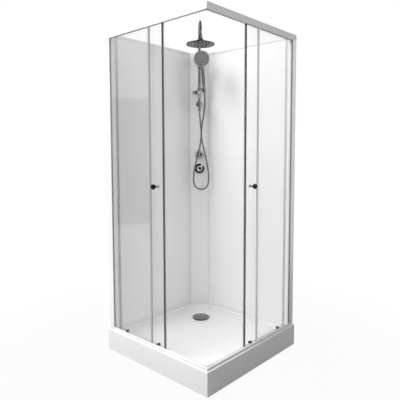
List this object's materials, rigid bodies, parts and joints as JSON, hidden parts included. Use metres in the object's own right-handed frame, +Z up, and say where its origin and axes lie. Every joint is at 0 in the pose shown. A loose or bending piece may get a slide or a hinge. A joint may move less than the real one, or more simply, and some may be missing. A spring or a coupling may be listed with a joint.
{
  "type": "shower cabin",
  "caption": "Square corner-entry shower cabin with a raised tray, white rear walls, glass sides with sliding doors, and a corner column with overhead and hand showers.",
  "frame": {"origin": "at floor level under the middle of the tray", "axes": "+Z up; the entry corner is at +X -Y and the shower column at -X +Y"},
  "size_m": [0.9, 0.9, 2.2805],
  "materials": {
    "tray_acrylic": "glossy white sanitary acrylic",
    "wall_white": "smooth glossy white panel",
    "frame_aluminium": "satin anodised and pale",
    "dark_chrome": "polished, reads dark",
    "clear_glass": "clear toughened glass",
    "clear_seal": "clear flexible seal",
    "chrome": "polished chrome plating",
    "chrome_plastic": "chrome-plated plastic",
    "hose_chrome": "spiral hose with a chrome look",
    "spray_grey": "grey plastic with nozzles",
    "black_plastic": "black plastic",
    "roller_grey": "dark grey fittings",
    "wheel_nylon": "grey nylon",
    "steel": "zinc-plated steel"
  },
  "bodies": {
    "root": {"tray": "tray_acrylic", "tray_feet": "steel", "waste_trap": "black_plastic", "left_wall_channels": "frame_aluminium", "left_wall_panel": "wall_white", "left_upright": "frame_aluminium", "left_top_rail": "frame_aluminium", "left_bottom_rail": "frame_aluminium", "left_fixed_glass": "clear_glass", "left_fixed_edge": "frame_aluminium", "right_wall_channels": "frame_aluminium", "right_wall_panel": "wall_white", "right_upright": "frame_aluminium", "right_top_rail": "frame_aluminium", "right_bottom_rail": "frame_aluminium", "right_fixed_glass": "clear_glass", "right_fixed_edge": "frame_aluminium", "column_panel": "wall_white", "column_trims": "frame_aluminium", "corner_brackets": "steel", "riser_pipe": "chrome", "riser_brackets": "chrome", "overhead_arm": "chrome", "outlet_nut": "chrome", "shower_hose": "hose_chrome", "diverter_body": "chrome", "mixer_body": "chrome", "supply_pipes": "steel"},
    "left_door": {"left_door_glass": "clear_glass", "left_door_edge": "dark_chrome", "left_door_seals": "clear_seal", "left_door_knobs": "dark_chrome", "left_roller_hubs": "roller_grey"},
    "left_wheel_top_lead": {"left_wheel_top_lead": "wheel_nylon"},
    "left_wheel_top_tail": {"left_wheel_top_tail": "wheel_nylon"},
    "left_wheel_bottom_lead": {"left_wheel_bottom_lead": "wheel_nylon"},
    "left_wheel_bottom_tail": {"left_wheel_bottom_tail": "wheel_nylon"},
    "right_door": {"right_door_glass": "clear_glass", "right_door_edge": "dark_chrome", "right_door_seals": "clear_seal", "right_door_knobs": "dark_chrome", "right_roller_hubs": "roller_grey"},
    "right_wheel_top_lead": {"right_wheel_top_lead": "wheel_nylon"},
    "right_wheel_top_tail": {"right_wheel_top_tail": "wheel_nylon"},
    "right_wheel_bottom_lead": {"right_wheel_bottom_lead": "wheel_nylon"},
    "right_wheel_bottom_tail": {"right_wheel_bottom_tail": "wheel_nylon"},
    "hand_slider": {"hand_slider": "chrome_plastic"},
    "hand_shower": {"handset_cradle": "chrome_plastic", "handset": "chrome_plastic", "handset_face": "spray_grey", "handset_nut": "chrome_plastic"},
    "soap_dish": {"soap_dish": "chrome_plastic"},
    "swivel_ring": {"swivel_ring": "chrome"},
    "rain_head": {"rain_head": "chrome_plastic", "rain_head_face": "spray_grey"},
    "diverter_knob": {"diverter_knob": "chrome_plastic"},
    "mixer_cap": {"mixer_cap": "black_plastic"},
    "mixer_lever": {"mixer_lever": "chrome"},
    "waste_cover": {"waste_cover": "chrome_plastic"}
  },
  "joints": [
    {"name": "left_door_slide", "type": "slide", "parent": "root", "child": "left_door", "axis": [1, 0, 0], "range_m": [-0.005, 0.318]},
    {"name": "right_door_slide", "type": "slide", "parent": "root", "child": "right_door", "axis": [0, -1, 0], "range_m": [-0.005, 0.318]},
    {"name": "left_top_lead_spin", "type": "hinge", "parent": "left_door", "child": "left_wheel_top_lead", "pos_m": [0.023, -0.42345, 2.0709], "axis": [0, 1, 0], "continuous": true},
    {"name": "left_top_tail_spin", "type": "hinge", "parent": "left_door", "child": "left_wheel_top_tail", "pos_m": [-0.282, -0.42345, 2.0709], "axis": [0, 1, 0], "continuous": true},
    {"name": "left_bottom_lead_spin", "type": "hinge", "parent": "left_door", "child": "left_wheel_bottom_lead", "pos_m": [0.023, -0.42345, 0.1613], "axis": [0, 1, 0], "continuous": true},
    {"name": "left_bottom_tail_spin", "type": "hinge", "parent": "left_door", "child": "left_wheel_bottom_tail", "pos_m": [-0.282, -0.42345, 0.1613], "axis": [0, 1, 0], "continuous": true},
    {"name": "right_top_lead_spin", "type": "hinge", "parent": "right_door", "child": "right_wheel_top_lead", "pos_m": [0.42345, -0.023, 2.0709], "axis": [1, 0, 0], "continuous": true},
    {"name": "right_top_tail_spin", "type": "hinge", "parent": "right_door", "child": "right_wheel_top_tail", "pos_m": [0.42345, 0.282, 2.0709], "axis": [1, 0, 0], "continuous": true},
    {"name": "right_bottom_lead_spin", "type": "hinge", "parent": "right_door", "child": "right_wheel_bottom_lead", "pos_m": [0.42345, -0.023, 0.1613], "axis": [1, 0, 0], "continuous": true},
    {"name": "right_bottom_tail_spin", "type": "hinge", "parent": "right_door", "child": "right_wheel_bottom_tail", "pos_m": [0.42345, 0.282, 0.1613], "axis": [1, 0, 0], "continuous": true},
    {"name": "hand_slide", "type": "slide", "parent": "root", "child": "hand_slider", "axis": [0, 0, 1], "range_m": [-0.01, 0.03], "deforming": ["shower_hose"]},
    {"name": "handset_tilt", "type": "hinge", "parent": "hand_slider", "child": "hand_shower", "pos_m": [-0.30292, 0.35383, 1.8], "axis": [0.7071, 0.7071, 0], "range_deg": [0, 12]},
    {"name": "dish_slide", "type": "slide", "parent": "root", "child": "soap_dish", "axis": [0, 0, 1], "range_m": [-0.02, 0.022]},
    {"name": "rain_head_pitch", "type": "hinge", "parent": "root", "child": "swivel_ring", "pos_m": [-0.16928, 0.16928, 2.132], "axis": [0.7071, 0.7071, 0], "range_deg": [-12, 12]},
    {"name": "rain_head_roll", "type": "hinge", "parent": "swivel_ring", "child": "rain_head", "pos_m": [-0.16928, 0.16928, 2.132], "axis": [0.7071, -0.7071, 0], "range_deg": [-12, 12]},
    {"name": "diverter_turn", "type": "hinge", "parent": "root", "child": "diverter_knob", "pos_m": [-0.34959, 0.34959, 1.309], "axis": [0.7071, -0.7071, 0], "range_deg": [0, 90]},
    {"name": "mixer_turn", "type": "hinge", "parent": "root", "child": "mixer_cap", "pos_m": [-0.34959, 0.34959, 1.202], "axis": [0.7071, -0.7071, 0], "range_deg": [-35, 50]},
    {"name": "lever_lift", "type": "hinge", "parent": "mixer_cap", "child": "mixer_lever", "pos_m": [-0.34514, 0.34514, 1.202], "axis": [0.5792, 0.5792, -0.5736], "range_deg": [0, 20]},
    {"name": "waste_cover_lift", "type": "slide", "parent": "root", "child": "waste_cover", "axis": [0, 0, 1], "range_m": [0, 0.03]}
  ],
  "couplings": [
    {"joint": "left_top_lead_spin", "follows": "left_door_slide", "rad_per_m": 90.909},
    {"joint": "left_top_tail_spin", "follows": "left_door_slide", "rad_per_m": 90.909},
    {"joint": "left_bottom_lead_spin", "follows": "left_door_slide", "rad_per_m": 90.909},
    {"joint": "left_bottom_tail_spin", "follows": "left_door_slide", "rad_per_m": 90.909},
    {"joint": "right_top_lead_spin", "follows": "right_door_slide", "rad_per_m": 90.909},
    {"joint": "right_top_tail_spin", "follows": "right_door_slide", "rad_per_m": 90.909},
    {"joint": "right_bottom_lead_spin", "follows": "right_door_slide", "rad_per_m": 90.909},
    {"joint": "right_bottom_tail_spin", "follows": "right_door_slide", "rad_per_m": 90.909}
  ]
}
